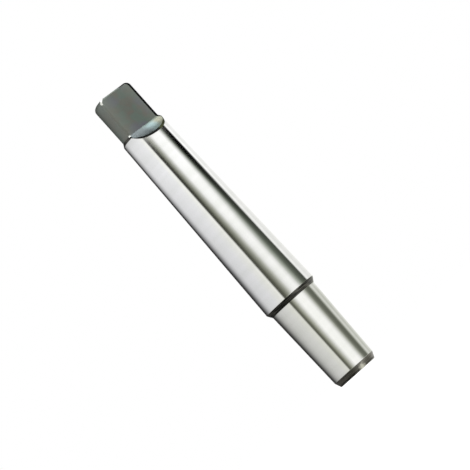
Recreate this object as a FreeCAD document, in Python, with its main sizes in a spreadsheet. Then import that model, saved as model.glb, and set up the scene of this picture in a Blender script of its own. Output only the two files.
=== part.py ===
# Drill chuck arbor: one steel bar, turned, milled and ground between centres.
# The long end is a Morse No. 2 shank with a driving tang, for a drill press spindle or a
# lathe tailstock. The short end is a B16 taper, which a drill chuck is pushed on to.
# Lengths are in millimetres. The bar stands on its chuck end at height 0, its axis is Z,
# and the tang is at the top with its two flats facing +Y and -Y.

import FreeCAD, Part
import Sketcher
import math
import os

os.makedirs("parts", exist_ok=True)
doc = FreeCAD.newDocument("ChuckArbor")


# Driving dimensions

SIZES = (
    ("shank_length", 80.0, "collar edge to the tang's end"),
    ("shank_gauge_diameter", 17.780, "Morse No. 2 diameter at its gauge line"),
    ("shank_gauge_offset", 5.0, "collar edge to the gauge line"),
    ("shank_taper_run", 20.020, "length of shank in which its diameter falls by 1"),
    ("shank_cone_stop", 14.75, "tang's end to the start of the ground cone"),
    ("tang_barrel_diameter", 13.5, "turned diameter of the tang"),
    ("tang_barrel_length", 13.6, "tang's end to the shoulder below the barrel"),
    ("tang_end_radius", 1.6, "rounding of the tang's end"),
    ("tang_thickness", 6.3, "across the two flats"),
    ("tang_flat_length", 13.85, "tang's end to the foot of the flat"),
    ("tang_ramp_length", 4.0, "foot of the flat to where its ramp leaves the ground cone"),
    ("tang_ramp_radius", 16.0, "radius of the ramp's shallow hollow"),
    ("tang_edge_break", 0.4, "deburred edge along the flats"),
    ("tang_lip_radius", 0.5, "rounding of the lip where each ramp leaves the ground cone"),
    ("chuck_end_length", 30.0, "end face to the collar edge"),
    ("chuck_gauge_diameter", 15.733, "B16 diameter at its gauge line"),
    ("chuck_gauge_height", 24.0, "end face to the gauge line"),
    ("chuck_taper_run", 20.020, "length of chuck taper in which its diameter grows by 1"),
    ("collar_cone_length", 1.6, "turned bevel between the collar edge and the chuck taper"),
    ("nose_bevel_length", 2.0, "lead-in bevel at the chuck end, along the axis"),
    ("nose_bevel_width", 0.8, "lead-in bevel at the chuck end, across the axis"),
    ("chuck_centre_mouth", 5.3, "wide end of the centre hole in the chuck end"),
    ("chuck_centre_bore", 2.5, "drilled bore of that centre hole"),
    ("chuck_centre_depth", 5.5, "depth of that bore, without the drill's point"),
    ("tang_centre_mouth", 3.35, "wide end of the centre hole in the tang"),
    ("tang_centre_bore", 1.6, "drilled bore of that centre hole"),
    ("tang_centre_depth", 3.5, "depth of that bore, without the drill's point"),
    ("centre_angle", 60.0, "included angle of both centre holes, in degrees"),
    ("drill_point_angle", 118.0, "included angle of the drill's point, in degrees"),
)

sheet = doc.addObject("Spreadsheet::Sheet", "Sizes")
for row, (alias, value, note) in enumerate(SIZES, start=1):
    sheet.set(f"A{row}", note)
    sheet.set(f"B{row}", str(value))
    sheet.setAlias(f"B{row}", alias)
doc.recompute()


# Formulas that several features share, in the names of the sheet

COLLAR_HEIGHT = "Sizes.chuck_end_length"
TOP_HEIGHT = "(Sizes.chuck_end_length + Sizes.shank_length)"
COLLAR_RADIUS = (
    "((Sizes.shank_gauge_diameter + Sizes.shank_gauge_offset / Sizes.shank_taper_run) / 2)"
)
CONE_TOP_HEIGHT = f"({TOP_HEIGHT} - Sizes.shank_cone_stop)"
CONE_TOP_RADIUS = (
    f"({COLLAR_RADIUS} - (Sizes.shank_length - Sizes.shank_cone_stop) / Sizes.shank_taper_run / 2)"
)
BARREL_RADIUS = "(Sizes.tang_barrel_diameter / 2)"
BARREL_FOOT_HEIGHT = f"({TOP_HEIGHT} - Sizes.tang_barrel_length)"
TAPER_TOP_HEIGHT = f"({COLLAR_HEIGHT} - Sizes.collar_cone_length)"
HALF_THICKNESS = "(Sizes.tang_thickness / 2)"
FLAT_FOOT_HEIGHT = f"({TOP_HEIGHT} - Sizes.tang_flat_length)"
RAMP_FOOT_HEIGHT = f"({FLAT_FOOT_HEIGHT} - Sizes.tang_ramp_length)"
RAMP_FOOT_RADIUS = (
    f"({COLLAR_RADIUS} - ({RAMP_FOOT_HEIGHT} - {COLLAR_HEIGHT}) / Sizes.shank_taper_run / 2)"
)


def chuck_taper_radius(height):
    """Radius of the chuck taper at a height, as a formula."""
    drop = f"(Sizes.chuck_gauge_height - {height}) / Sizes.chuck_taper_run"
    return f"((Sizes.chuck_gauge_diameter - {drop}) / 2)"


# Sketching

body = doc.addObject("PartDesign::Body", "Arbor")
body.Label = "arbor"

# Numbers that a sketch gives to its own two axes, and to the vertices of its items
ACROSS_AXIS, UPRIGHT_AXIS = range(-1, -3, -1)
START, END, CENTRE = range(1, 4)
ORIGIN = (ACROSS_AXIS, START)


def origin_plane(role):
    return next(item for item in body.Origin.OriginFeatures if item.Role == role)


def new_sketch(name, role):
    """A sketch on one of the body's own planes, across and up from its origin."""
    sketch = body.newObject("Sketcher::SketchObject", name)
    sketch.AttachmentSupport = [(origin_plane(role), "")]
    sketch.MapMode = "FlatFace"
    return sketch


def size_of(formula):
    """The value that a formula has in the sheet, without its unit."""
    return float(sheet.evalExpression(formula))


def bind(sketch, kind, item, vertex, formula):
    """Holds a vertex at the formula's distance from the sketch's origin."""
    index = sketch.addConstraint(Sketcher.Constraint(kind, *ORIGIN, item, vertex, size_of(formula)))
    sketch.setExpression(f"Constraints[{index}]", formula)


def place(sketch, item, vertex, across, up):
    """Places one vertex by two formulas, where None puts it on that axis."""
    if across is None:
        sketch.addConstraint(Sketcher.Constraint("PointOnObject", item, vertex, UPRIGHT_AXIS))
    else:
        bind(sketch, "DistanceX", item, vertex, across)
    if up is None:
        sketch.addConstraint(Sketcher.Constraint("PointOnObject", item, vertex, ACROSS_AXIS))
    else:
        bind(sketch, "DistanceY", item, vertex, up)


def point(across, up):
    return FreeCAD.Vector(size_of(across or "0"), size_of(up or "0"), 0)


def closed_outline(sketch, corners):
    """Straight lines from corner to corner and back to the first one."""
    following = corners[1:] + corners[:1]
    lines = [
        sketch.addGeometry(Part.LineSegment(point(*here), point(*there)))
        for here, there in zip(corners, following)
    ]
    for line, after in zip(lines, lines[1:] + lines[:1]):
        sketch.addConstraint(Sketcher.Constraint("Coincident", line, END, after, START))
    for line, (across, up) in zip(lines, corners):
        place(sketch, line, START, across, up)


# The turned and ground bar

bar_profile = new_sketch("BarProfile", "XZ_Plane")
nose_radius = chuck_taper_radius("Sizes.nose_bevel_length")
closed_outline(bar_profile, [
    (None, None),
    (f"{nose_radius} - Sizes.nose_bevel_width", None),
    (nose_radius, "Sizes.nose_bevel_length"),
    (chuck_taper_radius(TAPER_TOP_HEIGHT), TAPER_TOP_HEIGHT),
    (COLLAR_RADIUS, COLLAR_HEIGHT),
    (CONE_TOP_RADIUS, CONE_TOP_HEIGHT),
    (BARREL_RADIUS, BARREL_FOOT_HEIGHT),
    (BARREL_RADIUS, TOP_HEIGHT),
    (None, TOP_HEIGHT),
])

bar = body.newObject("PartDesign::Revolution", "Bar")
bar.Profile = bar_profile
bar.ReferenceAxis = (bar_profile, ["V_Axis"])
bar.Angle = 360
doc.recompute()


def edges_where(shape, test):
    """Names of the edges that pass a test."""
    return [f"Edge{number}" for number, edge in enumerate(shape.Edges, start=1) if test(edge)]


def is_tang_rim(edge):
    """The sharp circle round the tang's end face."""
    rim_radius = size_of(BARREL_RADIUS)
    rim_height = size_of(TOP_HEIGHT)
    return (
        isinstance(edge.Curve, Part.Circle)
        and math.isclose(edge.Curve.Radius, rim_radius, abs_tol=1e-6)
        and math.isclose(edge.Curve.Center.z, rim_height, abs_tol=1e-6)
    )


tang_rounding = body.newObject("PartDesign::Fillet", "TangRounding")
tang_rounding.Base = (bar, edges_where(bar.Shape, is_tang_rim))
tang_rounding.setExpression("Radius", "Sizes.tang_end_radius")
doc.recompute()


# Centre holes, which the bar was turned and ground between

def centre_hole(name, end, mouth_height, inward):
    """A drilled bore with a 60 degree mouth, cut from one end face into the bar."""
    mouth = f"(Sizes.{end}_centre_mouth / 2)"
    bore = f"(Sizes.{end}_centre_bore / 2)"
    cone_depth = f"(({mouth} - {bore}) / tan(Sizes.centre_angle * 1deg / 2))"
    point_depth = f"({bore} / tan(Sizes.drill_point_angle * 1deg / 2))"
    depth = f"Sizes.{end}_centre_depth"

    def height(below_face):
        return f"{mouth_height} {inward} {below_face}"

    profile = new_sketch(f"{name}Profile", "XZ_Plane")
    closed_outline(profile, [
        (None, height("0")),
        (mouth, height("0")),
        (bore, height(cone_depth)),
        (bore, height(depth)),
        (None, height(f"({depth} + {point_depth})")),
    ])
    hole = body.newObject("PartDesign::Groove", name)
    hole.Profile = profile
    hole.ReferenceAxis = (profile, ["V_Axis"])
    hole.Angle = 360
    doc.recompute()
    return hole


chuck_centre = centre_hole("ChuckCentre", "chuck", "0", "+")
tang_centre = centre_hole("TangCentre", "tang", TOP_HEIGHT, "-")


# The tang's two flats, milled across it, each with a ramp that rises through the cone. The
# ramp is a shallow hollow: one arc from the flat's foot to where it leaves the cone.

flat_profile = new_sketch("FlatProfile", "YZ_Plane")
outside = f"(1.2 * {COLLAR_RADIUS})"
above = f"({TOP_HEIGHT} + {HALF_THICKNESS})"

flat_foot = point(HALF_THICKNESS, FLAT_FOOT_HEIGHT)
ramp_foot = point(RAMP_FOOT_RADIUS, RAMP_FOOT_HEIGHT)
ramp_radius = size_of("Sizes.tang_ramp_radius")
chord = ramp_foot - flat_foot
outward = FreeCAD.Vector(-chord.y, chord.x, 0).normalize()
ramp_centre = (flat_foot + ramp_foot) / 2 + outward * math.sqrt(
    ramp_radius ** 2 - (chord.Length / 2) ** 2
)
across_to_end = size_of(outside) - ramp_centre.x
ramp_end = ramp_centre + FreeCAD.Vector(
    across_to_end, -math.sqrt(ramp_radius ** 2 - across_to_end ** 2), 0
)


def turn_to(place):
    """Angle of a place on the ramp's arc, seen from the arc's centre."""
    return math.atan2(place.y - ramp_centre.y, place.x - ramp_centre.x)


flat_line = flat_profile.addGeometry(Part.LineSegment(point(HALF_THICKNESS, above), flat_foot))
ramp = flat_profile.addGeometry(
    Part.ArcOfCircle(
        Part.Circle(ramp_centre, FreeCAD.Vector(0, 0, 1), ramp_radius),
        turn_to(flat_foot) % (2 * math.pi),
        turn_to(ramp_end) % (2 * math.pi),
    )
)
outer_line = flat_profile.addGeometry(Part.LineSegment(ramp_end, point(outside, above)))
top_line = flat_profile.addGeometry(
    Part.LineSegment(point(outside, above), point(HALF_THICKNESS, above))
)
on_cone = flat_profile.addGeometry(Part.Point(ramp_foot), True)
for first, first_end, second, second_end in (
    (flat_line, END, ramp, START),
    (ramp, END, outer_line, START),
    (outer_line, END, top_line, START),
    (top_line, END, flat_line, START),
):
    flat_profile.addConstraint(
        Sketcher.Constraint("Coincident", first, first_end, second, second_end)
    )
place(flat_profile, flat_line, START, HALF_THICKNESS, above)
place(flat_profile, flat_line, END, HALF_THICKNESS, FLAT_FOOT_HEIGHT)
place(flat_profile, on_cone, START, RAMP_FOOT_RADIUS, RAMP_FOOT_HEIGHT)
flat_profile.addConstraint(Sketcher.Constraint("PointOnObject", on_cone, START, ramp))
held_radius = flat_profile.addConstraint(Sketcher.Constraint("Radius", ramp, ramp_radius))
flat_profile.setExpression(f"Constraints[{held_radius}]", "Sizes.tang_ramp_radius")
place(flat_profile, outer_line, END, outside, above)
flat_profile.addConstraint(Sketcher.Constraint("Vertical", outer_line))

first_flat = body.newObject("PartDesign::Pocket", "FirstFlat")
first_flat.Profile = flat_profile
first_flat.Type = "Length"
first_flat.SideType = "Symmetric"
first_flat.setExpression("Length", f"4 * {COLLAR_RADIUS}")
doc.recompute()


# The long edges of a flat, broken with a file: one facet at each side

edge_profile = new_sketch("EdgeProfile", "XY_Plane")
edge_profile.setExpression("AttachmentOffset.Base.z", FLAT_FOOT_HEIGHT)
edge_across = f"sqrt({BARREL_RADIUS}^2 - {HALF_THICKNESS}^2)"
on_flat = f"({edge_across} - Sizes.tang_edge_break)"
on_barrel = f"({edge_across} + Sizes.tang_edge_break * {HALF_THICKNESS} / {BARREL_RADIUS})"
below_flat = f"({HALF_THICKNESS} - Sizes.tang_edge_break * {edge_across} / {BARREL_RADIUS})"
past_edge = f"({edge_across} + Sizes.tang_edge_break)"
past_flat = f"({HALF_THICKNESS} + Sizes.tang_edge_break)"
for side in ("", "-1 * "):
    closed_outline(edge_profile, [
        (side + on_flat, HALF_THICKNESS),
        (side + on_barrel, below_flat),
        (side + past_edge, past_flat),
    ])

broken_edges = body.newObject("PartDesign::Pocket", "BrokenEdges")
broken_edges.Profile = edge_profile
broken_edges.Type = "Length"
broken_edges.Reversed = True
broken_edges.setExpression("Length", "Sizes.tang_flat_length")
doc.recompute()

other_side = body.newObject("PartDesign::Mirrored", "OtherSide")
other_side.Originals = [first_flat, broken_edges]
other_side.MirrorPlane = (origin_plane("XZ_Plane"), [""])
body.Tip = other_side
doc.recompute()


# The lip of each ramp, rounded where it leaves the ground cone

def is_ramp_lip(edge):
    """An edge between a ramp's hollow and the ground cone."""
    surfaces = [face.Surface for face in other_side.Shape.ancestorsOfType(edge, Part.Face)]
    half_taper = size_of("1 / (2 * Sizes.shank_taper_run)")
    on_ramp = any(
        isinstance(surface, Part.Cylinder)
        and math.isclose(surface.Radius, ramp_radius, abs_tol=1e-6)
        for surface in surfaces
    )
    on_cone = any(
        isinstance(surface, Part.Cone)
        and math.isclose(abs(math.tan(surface.SemiAngle)), half_taper, abs_tol=1e-6)
        for surface in surfaces
    )
    return on_ramp and on_cone


rounded_lips = body.newObject("PartDesign::Fillet", "RoundedLips")
rounded_lips.Base = (other_side, edges_where(other_side.Shape, is_ramp_lip))
rounded_lips.setExpression("Radius", "Sizes.tang_lip_radius")
body.Tip = rounded_lips
doc.recompute()


# Checks, then the file

failed = [item.Label for item in doc.Objects if {"Invalid", "Error"} & set(item.State)]
if failed:
    raise RuntimeError(f"these could not be built: {', '.join(failed)}")

for step_before, step_after in (
    (tang_rounding, chuck_centre),
    (chuck_centre, tang_centre),
    (tang_centre, first_flat),
    (first_flat, broken_edges),
    (broken_edges, other_side),
    (other_side, rounded_lips),
):
    if step_after.Shape.Volume >= step_before.Shape.Volume:
        raise RuntimeError(f"{step_after.Label} cut nothing")

shape = body.Shape
if shape.isNull() or not shape.isValid() or len(shape.Solids) != 1:
    raise RuntimeError("the arbor is not one sound solid")

shape.exportStep(f"parts/{body.Label}.step")
box = shape.BoundBox
print(f"{body.Label}: volume {shape.Volume:.1f}, height {box.ZLength:.3f}, "
      f"across {box.XLength:.3f} by {box.YLength:.3f}")
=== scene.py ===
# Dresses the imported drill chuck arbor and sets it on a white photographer's table.

import bisect
import math

import bmesh
import bpy
from bpy.props import FloatProperty, PointerProperty, StringProperty
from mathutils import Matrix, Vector


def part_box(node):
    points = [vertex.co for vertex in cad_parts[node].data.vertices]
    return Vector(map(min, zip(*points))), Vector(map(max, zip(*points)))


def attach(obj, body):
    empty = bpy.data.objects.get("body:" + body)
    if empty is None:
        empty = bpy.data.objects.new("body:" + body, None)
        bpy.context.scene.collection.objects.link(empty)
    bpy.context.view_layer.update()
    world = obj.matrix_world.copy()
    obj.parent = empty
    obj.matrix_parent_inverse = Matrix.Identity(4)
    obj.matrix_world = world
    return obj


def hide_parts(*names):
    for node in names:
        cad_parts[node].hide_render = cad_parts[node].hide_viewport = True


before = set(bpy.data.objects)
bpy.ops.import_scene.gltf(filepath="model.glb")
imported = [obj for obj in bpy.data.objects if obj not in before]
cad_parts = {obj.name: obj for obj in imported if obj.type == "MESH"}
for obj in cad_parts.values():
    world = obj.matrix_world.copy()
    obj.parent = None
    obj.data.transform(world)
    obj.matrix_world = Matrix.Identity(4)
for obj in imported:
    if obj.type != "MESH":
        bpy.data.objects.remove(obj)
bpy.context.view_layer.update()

bl_info = {
    "name": "Drill Chuck Arbor",
    "version": (1, 0, 0),
    "blender": (4, 5, 0),
    "location": "3D View > Sidebar > Arbor",
    "description": "Builds a ground and blackened drill chuck arbor and its studio",
    "category": "Object",
}

MM = 0.001
NODE = "arbor"
NODE_LOW, NODE_HIGH = (Vector(corner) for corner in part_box(NODE))


# Values that a user would change

def length(millimetres, name, description):
    """A length property, given in millimetres and kept in metres."""
    return FloatProperty(
        name=name, description=description, default=millimetres * MM, unit="LENGTH", precision=5
    )


def angle(degrees, name, description):
    return FloatProperty(
        name=name, description=description, default=math.radians(degrees), subtype="ANGLE"
    )


def share(value, name, description):
    return FloatProperty(
        name=name, description=description, default=value, min=0.0, max=1.0, subtype="FACTOR"
    )


def hex_colour(value, name, description):
    return StringProperty(name=name, description=description, default=value)


class ArborSizes(bpy.types.PropertyGroup):
    """Sizes of the arbor, the same as those of the solid it dresses."""

    shank_length: length(80.0, "Shank length", "Collar edge to the tang's end")
    shank_gauge_diameter: length(17.780, "Shank gauge", "Diameter at the shank's gauge line")
    shank_gauge_offset: length(5.0, "Shank gauge offset", "Collar edge to the gauge line")
    shank_cone_stop: length(14.75, "Cone stop", "Tang's end to the start of the ground cone")
    taper_run: length(20.020, "Taper run", "Length of either taper per 1 mm of its diameter")
    barrel_diameter: length(13.5, "Barrel", "Turned diameter of the tang")
    barrel_length: length(13.6, "Barrel length", "Tang's end to the shoulder below the barrel")
    tang_end_radius: length(1.6, "End rounding", "Rounding of the tang's end")
    tang_thickness: length(6.3, "Tang thickness", "Across the two flats")
    flat_length: length(13.85, "Flat length", "Tang's end to the foot of the flat")
    ramp_length: length(4.0, "Ramp length", "Foot of the flat to where its ramp leaves the cone")
    ramp_radius: length(16.0, "Ramp radius", "Radius of the ramp's shallow hollow")
    chuck_end_length: length(30.0, "Chuck end", "End face to the collar edge")
    chuck_gauge_diameter: length(15.733, "Chuck gauge", "Diameter at the chuck's gauge line")
    chuck_gauge_height: length(24.0, "Chuck gauge height", "End face to the gauge line")
    collar_bevel_length: length(1.6, "Collar bevel", "Collar edge to the chuck taper")
    nose_bevel_length: length(2.0, "Nose bevel", "Lead-in bevel along the axis")
    nose_bevel_width: length(0.8, "Nose bevel width", "Lead-in bevel across the axis")
    chuck_centre_mouth: length(5.3, "Chuck centre mouth", "Wide end of the lower centre hole")
    chuck_centre_bore: length(2.5, "Chuck centre bore", "Bore of the lower centre hole")
    chuck_centre_depth: length(5.5, "Chuck centre depth", "Depth of the lower bore")
    tang_centre_mouth: length(3.35, "Tang centre mouth", "Wide end of the upper centre hole")
    tang_centre_bore: length(1.6, "Tang centre bore", "Bore of the upper centre hole")
    tang_centre_depth: length(3.5, "Tang centre depth", "Depth of the upper bore")
    centre_angle: angle(60.0, "Centre angle", "Included angle of both centre holes")
    drill_point_angle: angle(118.0, "Drill point", "Included angle of the drill's point")
    turned_easing: length(0.14, "Turned easing", "How far a turned corner is eased to each side")
    edge_break: length(0.4, "Edge break", "Deburred edges of the flats")
    driving_break: length(0.75, "Driving edge break", "The edge of each flat that the slot turns")
    lip_break: length(0.5, "Lip break", "Deburred lip of each ramp")


class ArborFinish(bpy.types.PropertyGroup):
    """Colours and patterns of the arbor's surfaces."""

    ground_light: hex_colour("#E3E3E4", "Ground steel", "Ground steel where it is freshly cut")
    ground_shade: hex_colour("#DCDDDC", "Ground steel shade", "Ground steel in duller rings")
    ground_roughness: share(0.10, "Ground roughness", "Roughness of the ground tapers")
    ground_stretch: share(0.65, "Ground stretch", "How far the grinding lines draw a glint out")
    grinding_pitch: length(0.22, "Grinding line pitch", "Spacing of the drawn grinding lines")
    oxide_green: hex_colour("#5E6962", "Oxide green", "Most of the blackened tang")
    oxide_brown: hex_colour("#68605A", "Oxide brown", "Warm patches of the blackened tang")
    oxide_blue: hex_colour("#62646B", "Oxide blue", "Cool patches of the blackened tang")
    oxide_rubbed: hex_colour("#757B74", "Oxide rubbed", "Tang where its oxide is rubbed thin")
    oxide_patch: length(5.0, "Oxide patch", "Size of the patches in the oxide")
    oxide_roughness: share(0.42, "Oxide roughness", "Roughness of the blackened steel")
    bevel_dark: hex_colour("#2A2A29", "Bevel oxide", "Blackened bevels and end faces")
    bevel_worn: hex_colour("#7B7972", "Bevel worn", "Bevels where the oxide is thinner")
    # Pale patch on the nose bevel: rubbed bare steel and a painted highlight
    nose_rubbed_and_glint: hex_colour("#BCBBAE", "Bevel rubbed", "Nose bevel where it is rubbed bare")
    # Near black on the lips and driving edges: oxide, and painted shade that draws dark lines
    # there
    lip_oxide_and_shade: hex_colour("#0C0E0C", "Lip oxide", "Blackened lips of the ramps")
    lip_olive: hex_colour("#575C41", "Lip olive", "Lips where the oxide is thinner")
    # Pale steel at the ends of an edge: rubbed bare, and a painted highlight where they glint
    edge_bare_and_glint: hex_colour("#D2D4D0", "Bare edge", "Ends of an edge, rubbed to bare steel")
    turning_pitch: length(0.35, "Turning mark pitch", "Spacing of the tool marks on the bevels")
    ramp_grey: hex_colour("#6D7577", "Ramp grey", "Ramp where the oxide is thicker")
    ramp_blue: hex_colour("#94A9AA", "Ramp blue", "Ramp where a thin oxide tints it blue")
    ramp_straw: hex_colour("#989A8A", "Ramp straw", "Ramp where a thin oxide tints it yellow")
    milling_pitch: length(0.5, "Milling mark pitch", "Spacing of the cutter marks")


class ArborStage(bpy.types.PropertyGroup):
    """Where the camera and the lamps are."""

    view_turn: angle(-29.5, "View turn", "Camera's turn about the arbor from facing a flat")
    view_roll: angle(41.87, "View roll", "Lean of the arbor in the picture")
    view_distance: length(640.0, "View distance", "Camera to the arbor's axis")
    view_height: length(2.5, "View height", "Camera above the table")
    view_aim: length(54.21, "View aim", "Height of the point the camera looks at")
    view_lens: FloatProperty(
        name="View lens", description="Focal length on a 36 mm wide sensor", default=166.8,
        subtype="DISTANCE_CAMERA",
    )
    tent_radius: length(110.0, "Tent radius", "Axis to the panels that the steel mirrors")
    tent_height: length(260.0, "Tent height", "Height of those panels")
    tent_foot: length(60.0, "Tent foot", "How far the panels' reflections go on below the table")
    table_size: length(6000.0, "Table size", "Width of the white table")


# Helpers

def linear(hex_value):
    """Linear RGBA of an sRGB hex colour."""
    channels = (int(hex_value[start:start + 2], 16) / 255 for start in (1, 3, 5))
    return (*(
        channel / 12.92 if channel <= 0.04045 else ((channel + 0.055) / 1.055) ** 2.4
        for channel in channels
    ), 1.0)


def add_node(tree, kind, sockets=(), **settings):
    """Adds one node with its settings, and gives its sockets their values or links.

    The sockets are in the node's own order, or in a dict by their name or number.
    """
    node = tree.nodes.new(kind)
    for name, value in settings.items():
        setattr(node, name, value)
    if not isinstance(sockets, dict):
        sockets = dict(enumerate(sockets))
    for socket, value in sockets.items():
        if isinstance(value, bpy.types.NodeSocket):
            tree.links.new(value, node.inputs[socket])
        else:
            node.inputs[socket].default_value = value
    return node


# Sockets of a Mix node that mixes colours, which have no names of their own
FACTOR, FIRST, SECOND, MIXED = 0, 6, 7, 2


def new_material(name):
    material = bpy.data.materials.new(name)
    material.use_nodes = True
    material.node_tree.nodes.clear()
    return material, material.node_tree


def set_ramp(node, stops):
    """Gives a colour ramp its stops, each a place and a linear colour."""
    elements = node.color_ramp.elements
    while len(elements) > 1:
        elements.remove(elements[-1])
    elements[0].position, elements[0].color = stops[0]
    for place, colour in stops[1:]:
        elements.new(place).color = colour


def link_object(name, data):
    made = bpy.data.objects.new(name, data)
    bpy.context.scene.collection.objects.link(made)
    return made


# Materials

def stretched_noise(tree, pitch_across, pitch_along, detail=2.0):
    """Noise with one cell size across the axis and another along it, as turned marks have."""
    place = add_node(tree, "ShaderNodeTexCoord").outputs["Object"]
    scaled = add_node(
        tree, "ShaderNodeMapping",
        {"Vector": place, "Scale": (1 / pitch_across, 1 / pitch_across, 1 / pitch_along)},
    ).outputs["Vector"]
    return add_node(
        tree, "ShaderNodeTexNoise",
        {"Vector": scaled, "Scale": 1.0, "Detail": detail, "Roughness": 0.55},
    ).outputs["Fac"]


def surface_height(tree):
    """Height of the shaded point above the table."""
    place = add_node(tree, "ShaderNodeTexCoord").outputs["Object"]
    return add_node(tree, "ShaderNodeSeparateXYZ", {"Vector": place}).outputs["Z"]


def towards_driving_edge(tree):
    """Distance from a flat's middle, counted towards its driving edge on both flats."""
    place = add_node(tree, "ShaderNodeTexCoord").outputs["Object"]
    parts = add_node(tree, "ShaderNodeSeparateXYZ", {"Vector": place}).outputs
    facing = add_node(tree, "ShaderNodeMath", (parts["Y"],), operation="SIGN").outputs["Value"]
    turned = add_node(
        tree, "ShaderNodeMath", (parts["X"], facing), operation="MULTIPLY"
    ).outputs["Value"]
    return add_node(tree, "ShaderNodeMath", (turned, -1.0), operation="MULTIPLY").outputs["Value"]


def faded(tree, pattern, low, high, first, second, most=1.0):
    """Fades from one colour to another where a pattern goes from low to high."""
    factor = add_node(
        tree, "ShaderNodeMapRange", (pattern, low, high, 0.0, most)
    ).outputs["Result"]
    return add_node(
        tree, "ShaderNodeMix", {FACTOR: factor, FIRST: first, SECOND: second}, data_type="RGBA"
    ).outputs[MIXED]


def finish_surface(tree, colour, roughness, relief, depth, **constants):
    """Shades a finish, with a bump of a real depth from a relief between 0 and 1."""
    normal = add_node(
        tree, "ShaderNodeBump", {"Height": relief, "Distance": depth}
    ).outputs["Normal"]
    surface = add_node(
        tree, "ShaderNodeBsdfPrincipled",
        {"Base Color": colour, "Roughness": roughness, "Normal": normal, **constants},
    )
    add_node(tree, "ShaderNodeOutputMaterial", {"Surface": surface.outputs["BSDF"]})


def ground_steel(finish):
    """Hardened steel, cylindrically ground.

    The wheel leaves fine lines round the axis. They keep every reflection sharp across the
    bar and draw it out along the bar, so the tapers show long clean bands. Real lines are
    about 0.02 mm apart, and they are drawn ten times coarser so that they show.
    """
    material, tree = new_material("ground_steel")
    lines = stretched_noise(tree, 9 * MM, finish.grinding_pitch, detail=3.0)
    rings = stretched_noise(tree, 40 * MM, 2.4 * MM)
    colour = faded(
        tree, rings, 0.3, 0.7, linear(finish.ground_light), linear(finish.ground_shade)
    )
    roughness = add_node(
        tree, "ShaderNodeMapRange",
        (lines, 0.25, 0.75, finish.ground_roughness - 0.02, finish.ground_roughness + 0.03),
    ).outputs["Result"]
    finish_surface(
        tree, colour, roughness, lines, 0.0002 * MM, Metallic=1.0,
        Anisotropic=finish.ground_stretch, **{"Anisotropic Rotation": 0.25},
    )
    return material


def blackened_tang(finish, top):
    """Hardened steel with the thin oxide of its heat treatment.

    The oxide is a dark, half-matt skin, mottled grey-green, brown and blue where it is a
    little thicker or thinner, and it dulls the tool marks below it. Towards the sides and
    the end of the tang it is rubbed a little lighter.
    """
    material, tree = new_material("blackened_tang")
    patches = stretched_noise(tree, finish.oxide_patch, finish.oxide_patch, detail=3.0)
    cool = stretched_noise(tree, 1.4 * finish.oxide_patch, 1.2 * finish.oxide_patch, detail=1.0)
    grain = stretched_noise(tree, 0.3 * MM, 0.3 * MM, detail=4.0)
    marks = stretched_noise(tree, 6 * MM, finish.milling_pitch)
    warm = faded(
        tree, patches, 0.46, 0.66, linear(finish.oxide_green), linear(finish.oxide_brown)
    )
    mottled = faded(tree, cool, 0.54, 0.66, warm, linear(finish.oxide_blue), most=0.9)
    away = add_node(
        tree, "ShaderNodeMath", (towards_driving_edge(tree),), operation="ABSOLUTE"
    ).outputs["Value"]
    height = surface_height(tree)
    at_sides = add_node(
        tree, "ShaderNodeMapRange", (away, 1.5 * MM, 5.5 * MM, 0.0, 0.6)
    ).outputs["Result"]
    at_end = add_node(
        tree, "ShaderNodeMapRange", (height, top - 6 * MM, top, 0.0, 0.3)
    ).outputs["Result"]
    rubbed = add_node(
        tree, "ShaderNodeMath", (at_sides, at_end), operation="ADD"
    ).outputs["Value"]
    colour = add_node(
        tree, "ShaderNodeMix",
        {FACTOR: rubbed, FIRST: mottled, SECOND: linear(finish.oxide_rubbed)}, data_type="RGBA",
    ).outputs[MIXED]
    roughness = add_node(
        tree, "ShaderNodeMapRange",
        (grain, 0.3, 0.7, finish.oxide_roughness - 0.07, finish.oxide_roughness + 0.07),
    ).outputs["Result"]
    relief = add_node(tree, "ShaderNodeMath", (grain, marks), operation="ADD").outputs["Value"]
    finish_surface(tree, colour, roughness, relief, 0.004 * MM, Metallic=0.75)
    return material


# Where the nose bevel is painted pale: steel rubbed through to bare, and a painted highlight
RUBBED_GLINT_PLACE = (-1.3 * MM, -6.7 * MM, 0.4 * MM)


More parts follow.
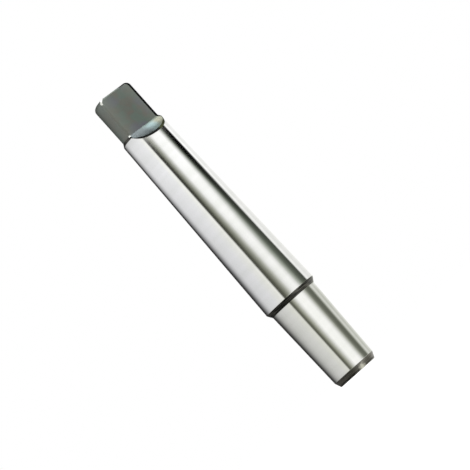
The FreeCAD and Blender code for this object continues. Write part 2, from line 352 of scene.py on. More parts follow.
def blackened_bevel(finish):
    """Turned and blackened steel of the bevels, the end faces and the centre holes.

    The lathe tool leaves rings, and the oxide is dark and fairly smooth on them, so these
    narrow faces look nearly black with a lighter ring here and there. The nose bevel is
    rubbed lighter by the chuck's socket, but kept darker in a ring along its lower rim. In
    one place it is painted pale, as steel rubbed through to bare and as a painted highlight
    where the bevel glints.
    """
    material, tree = new_material("blackened_bevel")
    rings = stretched_noise(tree, 4 * MM, finish.turning_pitch)
    fringe = stretched_noise(tree, 0.7 * MM, 0.7 * MM)
    height = surface_height(tree)
    in_rings = add_node(
        tree, "ShaderNodeMapRange", (rings, 0.44, 0.68, 0.0, 0.8)
    ).outputs["Result"]
    on_nose = add_node(
        tree, "ShaderNodeMapRange", (height, 1.8 * MM, 2.2 * MM, 0.6, 0.0)
    ).outputs["Result"]
    rubbed = add_node(
        tree, "ShaderNodeMath", (in_rings, on_nose), operation="ADD", use_clamp=True
    ).outputs["Value"]
    # Darker in a ring along the nose bevel's lower rim
    lower_rim_ring = add_node(
        tree, "ShaderNodeMath", (height, 0.42 * MM, 0.17 * MM), operation="COMPARE"
    ).outputs["Value"]
    beside_lower_rim_ring = add_node(
        tree, "ShaderNodeMapRange", (lower_rim_ring, 0.0, 1.0, 1.0, 0.25)
    ).outputs["Result"]
    worn = add_node(
        tree, "ShaderNodeMath", (rubbed, beside_lower_rim_ring), operation="MULTIPLY"
    ).outputs["Value"]
    oxide = add_node(
        tree, "ShaderNodeMix",
        {FACTOR: worn, FIRST: linear(finish.bevel_dark), SECOND: linear(finish.bevel_worn)},
        data_type="RGBA",
    ).outputs[MIXED]
    # Painted highlight: a pale patch on the nose bevel where it glints, also standing for rubbed
    # bare steel
    place = add_node(tree, "ShaderNodeTexCoord").outputs["Object"]
    away = add_node(
        tree, "ShaderNodeVectorMath", (place, RUBBED_GLINT_PLACE), operation="DISTANCE"
    ).outputs["Value"]
    ragged = add_node(
        tree, "ShaderNodeMath", (fringe, 1.6 * MM, away), operation="MULTIPLY_ADD"
    ).outputs["Value"]
    colour = faded(tree, ragged, 2.3 * MM, 1.2 * MM, oxide, linear(finish.nose_rubbed_and_glint))
    roughness = add_node(
        tree, "ShaderNodeMapRange", (rings, 0.3, 0.7, 0.24, 0.36)
    ).outputs["Result"]
    finish_surface(tree, colour, roughness, rings, 0.002 * MM, Metallic=0.9)
    return material


def blackened_lip_and_shade(finish, foot):
    """Filed and blackened steel along the lips of the ramps and the driving edges.

    The file leaves a rough facet with a thick oxide, and its near-black colour is also painted
    shade: it draws a black line between the bright cone and the ramp, and along each driving
    edge. Towards the driving edge the lip's oxide is thinner and olive.
    """
    material, tree = new_material("blackened_lip_and_shade")
    marks = stretched_noise(tree, 0.5 * MM, 0.3 * MM)
    height = surface_height(tree)
    near_driving_edge = add_node(
        tree, "ShaderNodeMapRange", (towards_driving_edge(tree), 0.6 * MM, 2.0 * MM, 0.0, 1.0)
    ).outputs["Result"]
    below_foot = add_node(
        tree, "ShaderNodeMapRange", (height, foot - 0.6 * MM, foot, 1.0, 0.0)
    ).outputs["Result"]
    thin = add_node(
        tree, "ShaderNodeMath", (near_driving_edge, below_foot), operation="MULTIPLY"
    ).outputs["Value"]
    colour = add_node(
        tree, "ShaderNodeMix",
        {FACTOR: thin, FIRST: linear(finish.lip_oxide_and_shade), SECOND: linear(finish.lip_olive)},
        data_type="RGBA",
    ).outputs[MIXED]
    roughness = add_node(
        tree, "ShaderNodeMapRange", (marks, 0.3, 0.7, 0.35, 0.5)
    ).outputs["Result"]
    finish_surface(tree, colour, roughness, marks, 0.003 * MM, Metallic=0.9)
    return material


def worn_edge_and_glint(finish):
    """Hardened steel, filed and then rubbed bare at both ends of a flat's other edge.

    The pale colour is a painted highlight as well as bare steel: it mirrors far more than the
    oxide beside it, so these two spots glint.
    """
    material, tree = new_material("worn_edge_and_glint")
    marks = stretched_noise(tree, 0.4 * MM, 1.2 * MM)
    colour = faded(tree, marks, 0.55, 0.8, linear(finish.edge_bare_and_glint), linear(finish.oxide_green))
    roughness = add_node(
        tree, "ShaderNodeMapRange", (marks, 0.3, 0.7, 0.16, 0.26)
    ).outputs["Result"]
    finish_surface(tree, colour, roughness, marks, 0.002 * MM, Metallic=1.0)
    return material


def milled_ramp(finish, foot, lip):
    """Milled steel of the two ramps, with the thin oxide of its heat treatment.

    The cutter leaves a satin surface with marks across the tang. The oxide is thinner than
    on the flats: grey at one side, then blue, then straw towards the driving edge. Near the
    foot of the flat the colour is painted darker, as painted shade, and along the lip the oxide
    gets thicker again.
    """
    material, tree = new_material("milled_ramp")
    marks = stretched_noise(tree, 6 * MM, finish.milling_pitch)
    mottle = stretched_noise(tree, 1.6 * MM, 1.2 * MM)
    height = surface_height(tree)
    shifted = add_node(
        tree, "ShaderNodeMath", (mottle, 3 * MM, towards_driving_edge(tree)),
        operation="MULTIPLY_ADD",
    ).outputs["Value"]
    across = add_node(
        tree, "ShaderNodeMath", (shifted, 1.5 * MM), operation="SUBTRACT"
    ).outputs["Value"]
    blue = faded(
        tree, across, -1.4 * MM, 1.6 * MM, linear(finish.ramp_grey), linear(finish.ramp_blue)
    )
    straw = faded(tree, across, 1.9 * MM, 4.2 * MM, blue, linear(finish.ramp_straw))
    # Painted shade: darker oxide green just above the flat's foot, to dim the lamp's highlight
    # there
    foot_part = add_node(
        tree, "ShaderNodeMapRange", (height, foot - 0.9 * MM, foot, 0.0, 1.0)
    ).outputs["Result"]
    foot_side = add_node(
        tree, "ShaderNodeMapRange", (across, -2.5 * MM, 0.5 * MM, 0.0, 0.9)
    ).outputs["Result"]
    painted_foot_shade = add_node(
        tree, "ShaderNodeMath", (foot_part, foot_side), operation="MULTIPLY"
    ).outputs["Value"]
    with_foot_shade = add_node(
        tree, "ShaderNodeMix",
        {FACTOR: painted_foot_shade, FIRST: straw, SECOND: linear(finish.oxide_green)}, data_type="RGBA",
    ).outputs[MIXED]
    lip_part = add_node(
        tree, "ShaderNodeMapRange", (height, lip + 2.4 * MM, lip + 0.6 * MM, 0.0, 1.0)
    ).outputs["Result"]
    lip_side = add_node(
        tree, "ShaderNodeMapRange", (across, 0.5 * MM, 3.0 * MM, 0.0, 0.8)
    ).outputs["Result"]
    near_lip = add_node(
        tree, "ShaderNodeMath", (lip_part, lip_side), operation="MULTIPLY"
    ).outputs["Value"]
    colour = add_node(
        tree, "ShaderNodeMix",
        {FACTOR: near_lip, FIRST: with_foot_shade, SECOND: linear(finish.lip_olive)}, data_type="RGBA",
    ).outputs[MIXED]
    roughness = add_node(
        tree, "ShaderNodeMapRange", (marks, 0.3, 0.7, 0.3, 0.4)
    ).outputs["Result"]
    finish_surface(tree, colour, roughness, marks, 0.0004 * MM, Metallic=1.0)
    return material


# Shape of the arbor

SIDE_STEPS = 30
FLAT_STEPS = 70
LIP_END_SHARE = 0.3
LIP_HALVINGS = 48
TANG_RIM_SHARE = 0.985  # The end face starts this far out on the rounded sides.
FACE_RING_PARTS = (0.12, 0.5, 0.88)  # Rings on an end face, from its rim to the hole.
END_ROUND_STEPS = 10
CONE_ROWS = 7  # Rows that bend from a level one to the curve of the lips.
TANG_START = 0.9 * MM  # The tang's finish starts this far above the ground cone.
GLINT_LENGTH = 0.25 * MM  # Pale steel on a flat's other edge, from the foot upwards: rubbed bare, and a painted highlight.
TOP_GLINT_LENGTH = 1.375 * MM  # The same from the tang's end downwards.
SHARP_ANGLE = 20  # Degrees between two faces that shade apart.
GROUND, TANG, BEVEL, RAMP, LIP, EDGE = range(6)


def eased_corner(before, corner, after, reach, steps=4):
    """Points that round a corner of the outline, starting and ending on its two sides."""
    before, corner, after = Vector(before), Vector(corner), Vector(after)
    start = corner + (before - corner).normalized() * reach
    end = corner + (after - corner).normalized() * reach
    return [
        tuple((1 - t) ** 2 * start + 2 * t * (1 - t) * corner + t ** 2 * end)
        for t in (step / steps for step in range(steps + 1))
    ]


class TurnedOutline:
    """The bar's outside as it leaves the lathe and the grinder: radius by height."""

    def __init__(self, sizes):
        top = sizes.chuck_end_length + sizes.shank_length
        slope = MM / sizes.taper_run / 2
        self.top = top
        self.collar = sizes.chuck_end_length
        self.taper_top = self.collar - sizes.collar_bevel_length
        self.cone_top = top - sizes.shank_cone_stop
        self.nose = sizes.nose_bevel_length
        barrel = sizes.barrel_diameter / 2
        collar_radius = sizes.shank_gauge_diameter / 2 + sizes.shank_gauge_offset * slope

        def chuck_radius(height):
            return sizes.chuck_gauge_diameter / 2 - (sizes.chuck_gauge_height - height) * slope

        corners = [
            (chuck_radius(self.nose) - sizes.nose_bevel_width, 0.0),
            (chuck_radius(self.nose), self.nose),
            (chuck_radius(self.taper_top), self.taper_top),
            (collar_radius, self.collar),
            (collar_radius - (self.cone_top - self.collar) * slope, self.cone_top),
            (barrel, top - sizes.barrel_length),
            (barrel, top - sizes.tang_end_radius),
        ]
        face_centre = (0.0, 0.0)
        points = []
        for before, corner, after in zip([face_centre] + corners, corners, corners[1:]):
            points += eased_corner(before, corner, after, sizes.turned_easing)
        for step in range(END_ROUND_STEPS + 1):
            turn = math.radians(90 * step / END_ROUND_STEPS)
            points.append((
                barrel - sizes.tang_end_radius * (1 - math.cos(turn)),
                top - sizes.tang_end_radius * (1 - math.sin(turn)),
            ))
        self.face_point = points[0]
        self.points = points[1:]
        self.heights = [height for _, height in self.points]

    def radius(self, height):
        """Radius of the outline at a height."""
        after = min(max(bisect.bisect_right(self.heights, height), 1), len(self.points) - 1)
        (low_radius, low), (high_radius, high) = self.points[after - 1:after + 1]
        part = min(max((height - low) / (high - low), 0.0), 1.0)
        return low_radius + (high_radius - low_radius) * part

    def rows(self, low, high, longest=3.0 * MM, guard=0.3 * MM):
        """Heights of the mesh's rows, with one beside each corner to keep its shading there."""
        inside = [height for height in self.heights if low < height < high]
        found = sorted({low, high, *inside})
        rows = [found[0]]
        for start, end in zip(found, found[1:]):
            gap = end - start
            if gap > 4 * guard:
                runs = max(1, math.ceil((gap - 2 * guard) / longest))
                rows += [start + guard + (gap - 2 * guard) * run / runs for run in range(runs + 1)]
            rows.append(end)
        return rows

    def finish(self, height):
        """Which finish the turned surface has at a height."""
        if self.nose < height < self.taper_top or self.collar < height < self.cone_top:
            return GROUND
        return TANG if height > self.cone_top + TANG_START else BEVEL


class MilledFlat:
    """The flat and its ramp: half the tang's thickness by height."""

    def __init__(self, sizes, outline):
        self.half = sizes.tang_thickness / 2
        self.curve = sizes.ramp_radius
        self.foot = outline.top - sizes.flat_length
        self.outline = outline
        self.start = outline.cone_top - sizes.turned_easing
        lowest = self.foot - sizes.ramp_length
        foot, lip = Vector((self.half, self.foot)), Vector((outline.radius(lowest), lowest))
        chord = lip - foot
        outward = Vector((-chord.y, chord.x)).normalized()
        to_centre = math.sqrt(self.curve ** 2 - (chord.length / 2) ** 2)
        self.centre = (foot + lip) / 2 + outward * to_centre
        self.foot_arc = self.arc(self.foot)
        self.start_arc = self.arc(self.start)

    def arc(self, height):
        """Angle along the ramp's arc at a height."""
        return math.asin((self.centre.y - height) / self.curve)

    def arc_height(self, arc):
        return self.centre.y - self.curve * math.sin(arc)

    def depth(self, height):
        """Distance from the tang's middle to the flat or the ramp."""
        if height >= self.foot:
            return self.half
        return self.centre.x - self.curve * math.cos(self.arc(height))

    def edge(self, height):
        """Half the width of the flat or the ramp, out to the turned surface."""
        return math.sqrt(max(self.outline.radius(height) ** 2 - self.depth(height) ** 2, 0.0))

    def edge_turn(self, height):
        """Angle about the axis at which the flat or the ramp cuts the turned surface."""
        return math.asin(self.depth(height) / self.outline.radius(height))

    def lip(self, turn):
        """Height where the ramp leaves the cone, at an angle about the axis."""
        low, high = self.foot - 2 * (self.foot - self.start) - self.half, self.start
        for _ in range(LIP_HALVINGS):
            middle = (low + high) / 2
            if self.outline.radius(middle) * abs(math.sin(turn)) < self.depth(middle):
                low = middle
            else:
                high = middle
        return (low + high) / 2


def around(radius, turn, height):
    return (radius * math.cos(turn), radius * math.sin(turn), height)


def lip_width(sizes, part):
    """Width of the lip's facet, which gets narrower at both ends of the lip."""
    return sizes.lip_break * min(1.0, LIP_END_SHARE + 2.5 * (1 - abs(part)))


class Column:
    """One line of the mesh up the bar, in a strip on a turned side or on a milled flat."""

    def __init__(self, middle, reach, part, milled, flat, sizes):
        self.middle = middle
        self.part = part
        self.turn = middle + reach * part
        self.milled = milled
        self.driving = milled == (part > 0)
        self.lip_break = lip_width(sizes, part)
        self.lip = flat.lip(self.turn) if milled else flat.start
        self.across = flat.outline.radius(self.lip) * math.cos(self.turn)


def loop_columns(sizes, outline, flat):
    """One loop's columns: a side, the flat after it, the other side and the other flat."""
    corner = flat.edge_turn(flat.start)
    first_lane = (flat.edge(flat.start) - lip_width(sizes, 1)) / outline.radius(flat.start)
    milled_reach = math.pi / 2 - math.acos(first_lane)
    columns = []
    for quarter, reach, steps in (
        (0, corner, SIDE_STEPS), (1, milled_reach, FLAT_STEPS),
        (2, corner, SIDE_STEPS), (3, milled_reach, FLAT_STEPS),
    ):
        columns += [
            Column(
                quarter * math.pi / 2, reach, 2 * step / steps - 1, quarter % 2 == 1, flat, sizes
            )
            for step in range(steps + 1)
        ]
    return columns


def outside_rows(sizes, outline, flat, columns):
    """Every row of the arbor's outside, from the chuck end's rim to the tang end's rim.

    Also returns the rows of the ramps' lips and of the flats' feet. Between a side and a flat
    lies one column of faces, which is the broken edge. The spindle's slot drives each flat by
    one edge, and that edge is broken wider.
    """
    widest = max(abs(column.across) for column in columns if column.milled)
    cone_start = min(column.lip for column in columns) - sizes.lip_break - 0.6 * MM
    rows = [
        [around(outline.radius(height), column.turn, height) for column in columns]
        for height in outline.rows(outline.heights[0], cone_start)
    ]
    for step in range(1, CONE_ROWS + 1):
        row = []
        for column in columns:
            below_lip = column.lip - column.lip_break
            height = cone_start + (below_lip - cone_start) * step / CONE_ROWS
            row.append(around(outline.radius(height), column.turn, height))
        rows.append(row)
    lip_row = len(rows) - 1

    def broken_width(column, part):
        """Width of a broken edge, from its width on the flat to that at the ramp's lip."""
        wide = column.milled and column.driving
        upper = sizes.driving_break if wide else sizes.edge_break
        return upper + (lip_width(sizes, 1) - upper) * part

    def milled_place(column, height, part=0.0, beside=None):
        """A column's place on the flat or the ramp.

        The columns spread out to a broken edge's width from the turned side, which is taken
        at the same row's height there: the ramp's rows sag in the middle to follow its lip.
        """
        side = flat.edge(height if beside is None else beside)
        across = column.across / widest * (side - broken_width(column, part))
        return across, math.copysign(flat.depth(height), math.sin(column.turn)), height

    def side_place(column, height, part=0.0):
        """A column's place on the turned side, a broken edge's width in from the flat."""
        radius = outline.radius(height)
        reach = flat.edge_turn(height) - broken_width(column, part) / radius
        return around(radius, column.middle + reach * column.part, height)

    for height in outline.rows(flat.start, flat.foot, longest=0.1 * MM, guard=0.05 * MM):
        part = (flat.arc(height) - flat.foot_arc) / (flat.start_arc - flat.foot_arc)
        row = []
        for column in columns:
            if column.milled:
                last_arc = flat.arc(column.lip) - column.lip_break / flat.curve
                arc = flat.foot_arc + (last_arc - flat.foot_arc) * part
                row.append(milled_place(column, flat.arc_height(arc), part, height))
            else:
                row.append(side_place(column, height, part))
        rows.append(row)
    foot_row = len(rows) - 1

    squeeze = (outline.top - sizes.edge_break - flat.foot) / (outline.top - flat.foot)
    for height in outline.rows(flat.foot, outline.top)[1:]:
        on_flat = flat.foot + (height - flat.foot) * squeeze
        rows.append([
            milled_place(column, on_flat) if column.milled else side_place(column, height)
            for column in columns
        ])

    rim = []
    for column, (x, y, _) in zip(columns, rows[-1]):
        if column.milled:
            across, depth, _ = milled_place(column, outline.top)
            rim.append((across, depth - math.copysign(sizes.edge_break, depth), outline.top))
        else:
            rim.append((TANG_RIM_SHARE * x, TANG_RIM_SHARE * y, outline.top))
    rows.append(rim)
    return rows, lip_row, foot_row


def hole_rows(rim, mouth, bore, depth, sizes, height, inward):
    """Rows from an end face's rim over the face and down its centre hole."""
    cone = (mouth - bore) / math.tan(sizes.centre_angle / 2)
    point = bore / math.tan(sizes.drill_point_angle / 2)
    stations = [(mouth, 0.0), (bore, cone), (bore, depth), (0.05 * bore, depth + 0.95 * point)]
    turns = [math.atan2(y, x) for x, y, _ in rim]
    rows = []
    for part in FACE_RING_PARTS:
        rows.append([
            (
                x + (mouth * math.cos(turn) - x) * part,
                y + (mouth * math.sin(turn) - y) * part,
                height,
            )
            for (x, y, _), turn in zip(rim, turns)
        ])
    for radius, below in stations:
        rows.append([around(radius, turn, height + inward * below) for turn in turns])
    tip = (0.0, 0.0, height + inward * (depth + point))
    return rows, tip


def build_arbor_mesh(sizes):
    """The whole arbor as one closed mesh, with a material number on each face."""
    outline = TurnedOutline(sizes)
    flat = MilledFlat(sizes, outline)
    columns = loop_columns(sizes, outline, flat)
    outside, lip_row, foot_row = outside_rows(sizes, outline, flat, columns)

    nose_rim = [around(outline.face_point[0], math.atan2(y, x), 0.0) for x, y, _ in outside[0]]
    low_rows, low_tip = hole_rows(
        nose_rim, sizes.chuck_centre_mouth / 2, sizes.chuck_centre_bore / 2,
        sizes.chuck_centre_depth, sizes, 0.0, 1,
    )
    high_rows, high_tip = hole_rows(
        outside[-1], sizes.tang_centre_mouth / 2, sizes.tang_centre_bore / 2,
        sizes.tang_centre_depth, sizes, outline.top, -1,
    )
    rows = low_rows[::-1] + [nose_rim] + outside + high_rows
    first_outside = len(low_rows) + 1
    face_rows = len(FACE_RING_PARTS) - 1
    low_glint = flat.foot + GLINT_LENGTH
    high_glint = outline.top - TOP_GLINT_LENGTH

    def face_finish(row, column, middle):
        """The finish of the face above a row and after a column, by its middle height."""
        after = columns[(column + 1) % len(columns)]
        milled = columns[column].milled and after.milled
        broken = columns[column].milled != after.milled
        driving = broken and after.driving
        if row < 0:
            return BEVEL
        if row >= len(outside) - 1:
            return TANG if row < len(outside) + face_rows else BEVEL
        if row < lip_row or not (milled or broken):
            return outline.finish(middle)
        # The lips, the driving edges and the other edges below the foot take the near-black lip
        # colour, painted shade that draws dark lines
        if row == lip_row or driving or (broken and middle < flat.foot - GLINT_LENGTH):
            return LIP
        # Painted shade: part of the tang end's top row of faces also takes the near-black lip
        # colour, a dark line there
        if row == len(outside) - 2 and columns[column].part > 0.5:
            return LIP
        # Painted highlight: both ends of each other edge take the pale bare-steel colour, so that
        # they glint
        if broken and not low_glint < middle < high_glint:
            return EDGE
        return RAMP if row < foot_row else TANG

    work = bmesh.new()
    made = [[work.verts.new(place) for place in row] for row in rows]
    count = len(columns)
    for number, (below, above) in enumerate(zip(made, made[1:])):
        for column in range(count):
            after = (column + 1) % count
            face = work.faces.new((below[column], below[after], above[after], above[column]))
            middle = (below[column].co.z + above[column].co.z) / 2
            face.material_index = face_finish(number - first_outside, column, middle)
    for tip, ring, order in ((low_tip, made[0], -1), (high_tip, made[-1], 1)):
        point = work.verts.new(tip)
        for column in range(count):
            corners = (ring[column], ring[(column + 1) % count], point)
            work.faces.new(corners[::order]).material_index = BEVEL

    bmesh.ops.recalc_face_normals(work, faces=work.faces)
    if any(len(edge.link_faces) != 2 for edge in work.edges):
        raise RuntimeError("the arbor's mesh is not closed")
    mesh = bpy.data.meshes.new("arbor_steel")
    work.to_mesh(mesh)
    work.free()
    mesh.shade_smooth()
    mesh.set_sharp_from_angle(angle=math.radians(SHARP_ANGLE))
    return mesh


class ARBOR_OT_build_arbor(bpy.types.Operator):
    """Builds the ground and blackened arbor over its solid"""

    bl_idname = "arbor.build_arbor"
    bl_label = "Build arbor"

    def execute(self, context):
        sizes = context.scene.arbor_sizes
        finish = context.scene.arbor_finish
        mesh = build_arbor_mesh(sizes)
        top = sizes.chuck_end_length + sizes.shank_length
        foot = top - sizes.flat_length
        for material in (
            ground_steel(finish), blackened_tang(finish, top), blackened_bevel(finish),
            milled_ramp(finish, foot, foot - sizes.ramp_length), blackened_lip_and_shade(finish, foot),
            worn_edge_and_glint(finish),
        ):
            mesh.materials.append(material)
        arbor = link_object("arbor_steel", mesh)
        low, high = (Vector(corner) for corner in (
            [min(v.co[axis] for v in mesh.vertices) for axis in range(3)],
            [max(v.co[axis] for v in mesh.vertices) for axis in range(3)],
        ))
        if (low - NODE_LOW).length > 0.1 * MM or (high - NODE_HIGH).length > 0.1 * MM:
            raise RuntimeError(f"the arbor leaves its solid: {low} to {high}")
        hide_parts(NODE)
        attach(arbor, "root")
        return {"FINISHED"}


# Studio

TABLE_GREY = 0.9
TABLE_LIFT = 0.34  # Light of its own, so that the table shows as even as a lit sheet.
ROOM_LEVEL = 0.75  # The white world's strength as a lamp. It looks white itself, at 1.
# The lamp's place and width in metres, and its power in watts
LAMP_TO_CAMERA, LAMP_TO_RIGHT, LAMP_HEIGHT = 0.05, 0.12, 0.55
LAMP_WIDTH, LAMP_POWER = 0.45, 1.1
LAMP_AIM = (0, 0, 60 * MM)
TENT_SIDES = 96


def grey(level):
    return (level, level, level, 1.0)


def room_light(degrees, level, tint):
    """Light of one panel of the room, by its angle to the camera's right.

    The left of the room has an even tint. The rest is warmer, most of all next to the black
    strip, and turns olive where it is dim, with less red far to the right.
    """
    left_blue, right_blue, right_red = tint
    dim = 1 - min(level, 1.0)
    if degrees < -35:
        return (level, level, left_blue * level, 1.0)
    red = right_red if degrees > 55 else 0.03
    blue = right_blue - 0.2 * dim - (0.03 if degrees < 0 else 0.0)
    return ((1 - red * dim) * level, level, blue * level, 1.0)


# What the steel mirrors, as the angle to the camera's right and the brightness there. The
# room is brightest in front to the right, black beside that, and dark behind the camera.

TANG_ROOM = (
    (-180, 0.03), (-134, 0.06), (-118, 0.5), (-95, 0.8), (-60, 0.95), (-20, 1.15), (20, 1.2),
    (50, 1.1), (70, 1.1), (97, 0.8), (102, 0.0), (154, 0.0), (158, 1.2), (180, 1.2),
)
UPPER_ROOM = (
    (-180, 0.03), (-147, 0.05), (-131, 0.44), (-118, 0.74), (-103, 0.97), (-75, 1.02), (-40, 1.1),
    (-28, 1.2), (-23, 1.2), (-18, 0.03), (-11, 0.05), (-5, 0.22), (0, 0.38), (6, 0.62),
    (11, 0.86), (18, 1.24), (26, 1.3), (56, 1.38), (65, 0.96), (73, 0.4), (79, 0.1), (86, 0.0),
    (104, 0.0), (110, 1.18), (116, 1.4), (127, 1.1), (180, 1.1),
)
COLLAR_ROOM = (
    (-180, 0.03), (-142, 0.06), (-128, 0.26), (-110, 0.66), (-97, 0.84), (-60, 0.93), (-32, 1.0),
    (-24, 1.1), (-18, 0.08), (-10, 0.13), (-5, 0.23), (0, 0.32), (5, 0.46), (11, 0.7),
    (18, 1.0), (28, 1.17), (42, 1.22), (52, 1.0), (60, 0.62), (68, 0.36), (76, 0.17),
    (88, 0.1), (99, 0.08), (105, 1.1), (110, 1.16), (122, 1.0), (180, 1.05),
)
CHUCK_ROOM = (
    (-180, 0.03), (-139, 0.06), (-124, 0.24), (-111, 0.44), (-98, 0.6), (-80, 0.73), (-50, 0.83),
    (-30, 0.9), (-24, 0.92), (-18, 0.12), (-12, 0.16), (-5, 0.39), (3, 0.68), (10, 0.98),
    (18, 1.24), (46, 1.22), (55, 1.0), (64, 0.62), (72, 0.28), (80, 0.18), (91, 0.16),
    (97, 0.2), (104, 0.52), (111, 0.84), (120, 0.78), (130, 0.66), (150, 0.84), (180, 0.88),
)
BELOW_ROOM = (
    (-180, 0.2), (-60, 0.16), (-20, 0.2), (0, 0.5), (30, 1.05), (55, 1.2), (78, 0.62), (100, 0.55),
    (120, 0.8), (140, 1.1), (180, 1.2),
)


def room_ramp(tree, turn, room, tint, steel_radius, tent_radius):
    """Paints one level of the room on the tent.

    The steel's surface stands off the axis, so a panel is seen from there at a slightly
    larger angle than from the axis, and it is moved by as much.
    """
    stops = []
    for degrees, level in room:
        mirrored = math.radians(degrees)
        seen = mirrored - math.asin(steel_radius / tent_radius * math.sin(mirrored / 2))
        stops.append((0.5 + seen / (2 * math.pi), room_light(degrees, level, tint)))
    stops[0] = (0.0, stops[0][1])
    stops[-1] = (1.0, stops[-1][1])
    ramp = add_node(tree, "ShaderNodeValToRGB", {"Fac": turn})
    set_ramp(ramp, stops)
    return ramp.outputs["Color"]


def tent_material(stage):
    """The room round the arbor, which only the steel's reflections see."""
    material, tree = new_material("tent_panels")
    place = add_node(tree, "ShaderNodeTexCoord").outputs["Object"]
    turn = add_node(
        tree, "ShaderNodeTexGradient", {"Vector": place}, gradient_type="RADIAL"
    ).outputs["Fac"]
    height = add_node(tree, "ShaderNodeSeparateXYZ", {"Vector": place}).outputs["Z"]
    colour = room_ramp(tree, turn, BELOW_ROOM, (0.93, 0.98, 0.0), 7 * MM, stage.tent_radius)
    for room, tint, steel_radius, low, high in (
        (CHUCK_ROOM, (0.95, 0.955, 0.06), 7.5 * MM, -14 * MM, -9 * MM),
        (COLLAR_ROOM, (1.01, 0.965, 0.13), 8.8 * MM, 29 * MM, 33 * MM),
        (UPPER_ROOM, (1.01, 0.98, 0.13), 7.6 * MM, 55 * MM, 99 * MM),
        (TANG_ROOM, (1.0, 0.98, 0.0), 6.8 * MM, 113.2 * MM, 114.4 * MM),
    ):
        above = room_ramp(tree, turn, room, tint, steel_radius, stage.tent_radius)
        colour = faded(tree, height, low, high, colour, above)
    light = add_node(tree, "ShaderNodeEmission", {"Color": colour})
    add_node(tree, "ShaderNodeOutputMaterial", {"Surface": light.outputs["Emission"]})
    return material


def sees_background(tree):
    """1 for the rays that should find a white background: camera, glossy and transmission."""
    path = add_node(tree, "ShaderNodeLightPath").outputs
    either = add_node(
        tree, "ShaderNodeMath", (path["Is Camera Ray"], path["Is Glossy Ray"]),
        operation="MAXIMUM",
    ).outputs["Value"]
    return add_node(
        tree, "ShaderNodeMath", (either, path["Is Transmission Ray"]), operation="MAXIMUM"
    ).outputs["Value"]


def table_material():
    """White laminate of the table: matt, evenly lit, with a soft shadow on it."""
    material, tree = new_material("table_white")
    matt = add_node(tree, "ShaderNodeBsdfDiffuse", {"Color": grey(TABLE_GREY)})
    strength = add_node(
        tree, "ShaderNodeMath", (sees_background(tree), TABLE_LIFT), operation="MULTIPLY"
    ).outputs["Value"]
    lift = add_node(tree, "ShaderNodeEmission", {"Color": grey(1.0), "Strength": strength})
    both = add_node(tree, "ShaderNodeAddShader", (matt.outputs["BSDF"], lift.outputs["Emission"]))
    add_node(tree, "ShaderNodeOutputMaterial", {"Surface": both.outputs["Shader"]})
    return material


def set_world():
    """White behind everything, and a plain level of light from all round."""
    world = bpy.data.worlds.new("white_room")
    bpy.context.scene.world = world
    world.use_nodes = True
    tree = world.node_tree
    tree.nodes.clear()
    strength = add_node(
        tree, "ShaderNodeMapRange", (sees_background(tree), 0.0, 1.0, ROOM_LEVEL, 1.0)
    ).outputs["Result"]
    white = add_node(tree, "ShaderNodeBackground", {"Color": grey(1.0), "Strength": strength})
    add_node(tree, "ShaderNodeOutputWorld", {"Surface": white.outputs["Background"]})


def add_lamp(name, place, aim, width, power):
    lamp = bpy.data.lights.new(name, "AREA")
    lamp.shape = "DISK"
    lamp.size = width
    lamp.energy = power
    made = link_object(name, lamp)
    made.location = place
    made.rotation_euler = (Vector(aim) - Vector(place)).to_track_quat("-Z", "Y").to_euler()
    return made


def camera_directions(stage):
    """Towards the camera and towards its right, level with the table."""
    turn = stage.view_turn
    to_camera = Vector((math.sin(turn), -math.cos(turn), 0))
    to_right = Vector((math.cos(turn), math.sin(turn), 0))
    return to_camera, to_right


def add_camera(stage):
    to_camera, _ = camera_directions(stage)
    camera = link_object("camera", bpy.data.cameras.new("camera"))
    camera.data.lens = stage.view_lens
    camera.data.sensor_width = 36.0
    camera.data.clip_start = 5 * MM
    camera.data.clip_end = 20.0
    place = to_camera * stage.view_distance + Vector((0, 0, stage.view_height))
    aim = Vector((0, 0, stage.view_aim))
    forward = (aim - place).normalized()
    level = forward.cross(Vector((0, 0, 1))).normalized()
    upright = level.cross(forward)
    up = upright * math.cos(stage.view_roll) + level * math.sin(stage.view_roll)
    right = forward.cross(up)
    matrix = camera.matrix_world.copy()
    for row in range(3):
        matrix[row] = (right[row], up[row], -forward[row], place[row])
    camera.matrix_world = matrix
    bpy.context.scene.camera = camera


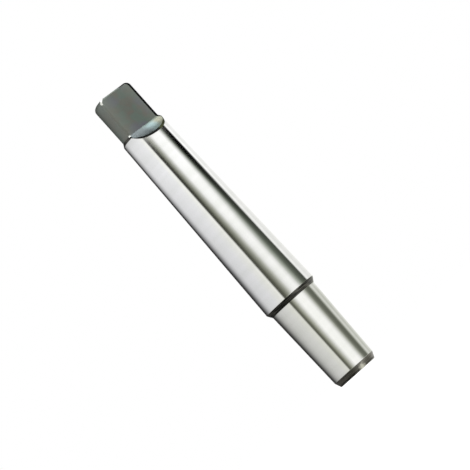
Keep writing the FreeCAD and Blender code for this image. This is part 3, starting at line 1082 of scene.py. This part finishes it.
class ARBOR_OT_set_stage(bpy.types.Operator):
    """Sets the table, the panels, the lamp and the camera"""

    bl_idname = "arbor.set_stage"
    bl_label = "Set stage"

    def execute(self, context):
        stage = context.scene.arbor_stage
        context.scene.view_settings.view_transform = "Standard"
        set_world()

        half = stage.table_size / 2
        table = bpy.data.meshes.new("table")
        table.from_pydata(
            [(-half, -half, 0), (half, -half, 0), (half, half, 0), (-half, half, 0)],
            [], [(0, 1, 2, 3)],
        )
        table.materials.append(table_material())
        floor = link_object("table", table)
        floor.visible_glossy = False

        turns = [2 * math.pi * step / TENT_SIDES for step in range(TENT_SIDES)]
        rims = [
            around(stage.tent_radius, turn, height)
            for height in (-stage.tent_foot, stage.tent_height) for turn in turns
        ]
        tent = bpy.data.meshes.new("tent")
        wall = [
            (side, after, after + TENT_SIDES, side + TENT_SIDES)
            for side, after in zip(range(TENT_SIDES), [*range(1, TENT_SIDES), 0])
        ]
        tent.from_pydata(rims, [], wall + [tuple(range(TENT_SIDES))])
        tent.materials.append(tent_material(stage))
        panels = link_object("tent", tent)
        panels.rotation_euler.z = stage.view_turn - math.pi / 2
        panels.visible_camera = False
        panels.visible_diffuse = False
        panels.visible_shadow = False

        to_camera, to_right = camera_directions(stage)
        place = to_camera * LAMP_TO_CAMERA + to_right * LAMP_TO_RIGHT
        place.z = LAMP_HEIGHT
        add_lamp("overhead_lamp", place, LAMP_AIM, LAMP_WIDTH, LAMP_POWER)
        add_camera(stage)
        return {"FINISHED"}


class VIEW3D_PT_arbor(bpy.types.Panel):
    """Sidebar panel with the arbor's operators and values"""

    bl_label = "Drill Chuck Arbor"
    bl_space_type = "VIEW_3D"
    bl_region_type = "UI"
    bl_category = "Arbor"

    def draw(self, context):
        layout = self.layout
        layout.operator(ARBOR_OT_build_arbor.bl_idname)
        layout.operator(ARBOR_OT_set_stage.bl_idname)
        for group in (
            context.scene.arbor_sizes, context.scene.arbor_finish, context.scene.arbor_stage
        ):
            box = layout.box()
            for name in group.bl_rna.properties.keys():
                if name not in {"rna_type", "name"}:
                    box.prop(group, name)


CLASSES = (
    ArborSizes, ArborFinish, ArborStage,
    ARBOR_OT_build_arbor, ARBOR_OT_set_stage, VIEW3D_PT_arbor,
)


def register():
    for item in CLASSES:
        bpy.utils.register_class(item)
    bpy.types.Scene.arbor_sizes = PointerProperty(type=ArborSizes)
    bpy.types.Scene.arbor_finish = PointerProperty(type=ArborFinish)
    bpy.types.Scene.arbor_stage = PointerProperty(type=ArborStage)


def unregister():
    del bpy.types.Scene.arbor_stage
    del bpy.types.Scene.arbor_finish
    del bpy.types.Scene.arbor_sizes
    for item in reversed(CLASSES):
        bpy.utils.unregister_class(item)


def main():
    register()
    bpy.ops.arbor.build_arbor()
    bpy.ops.arbor.set_stage()


if __name__ == "__main__":
    main()
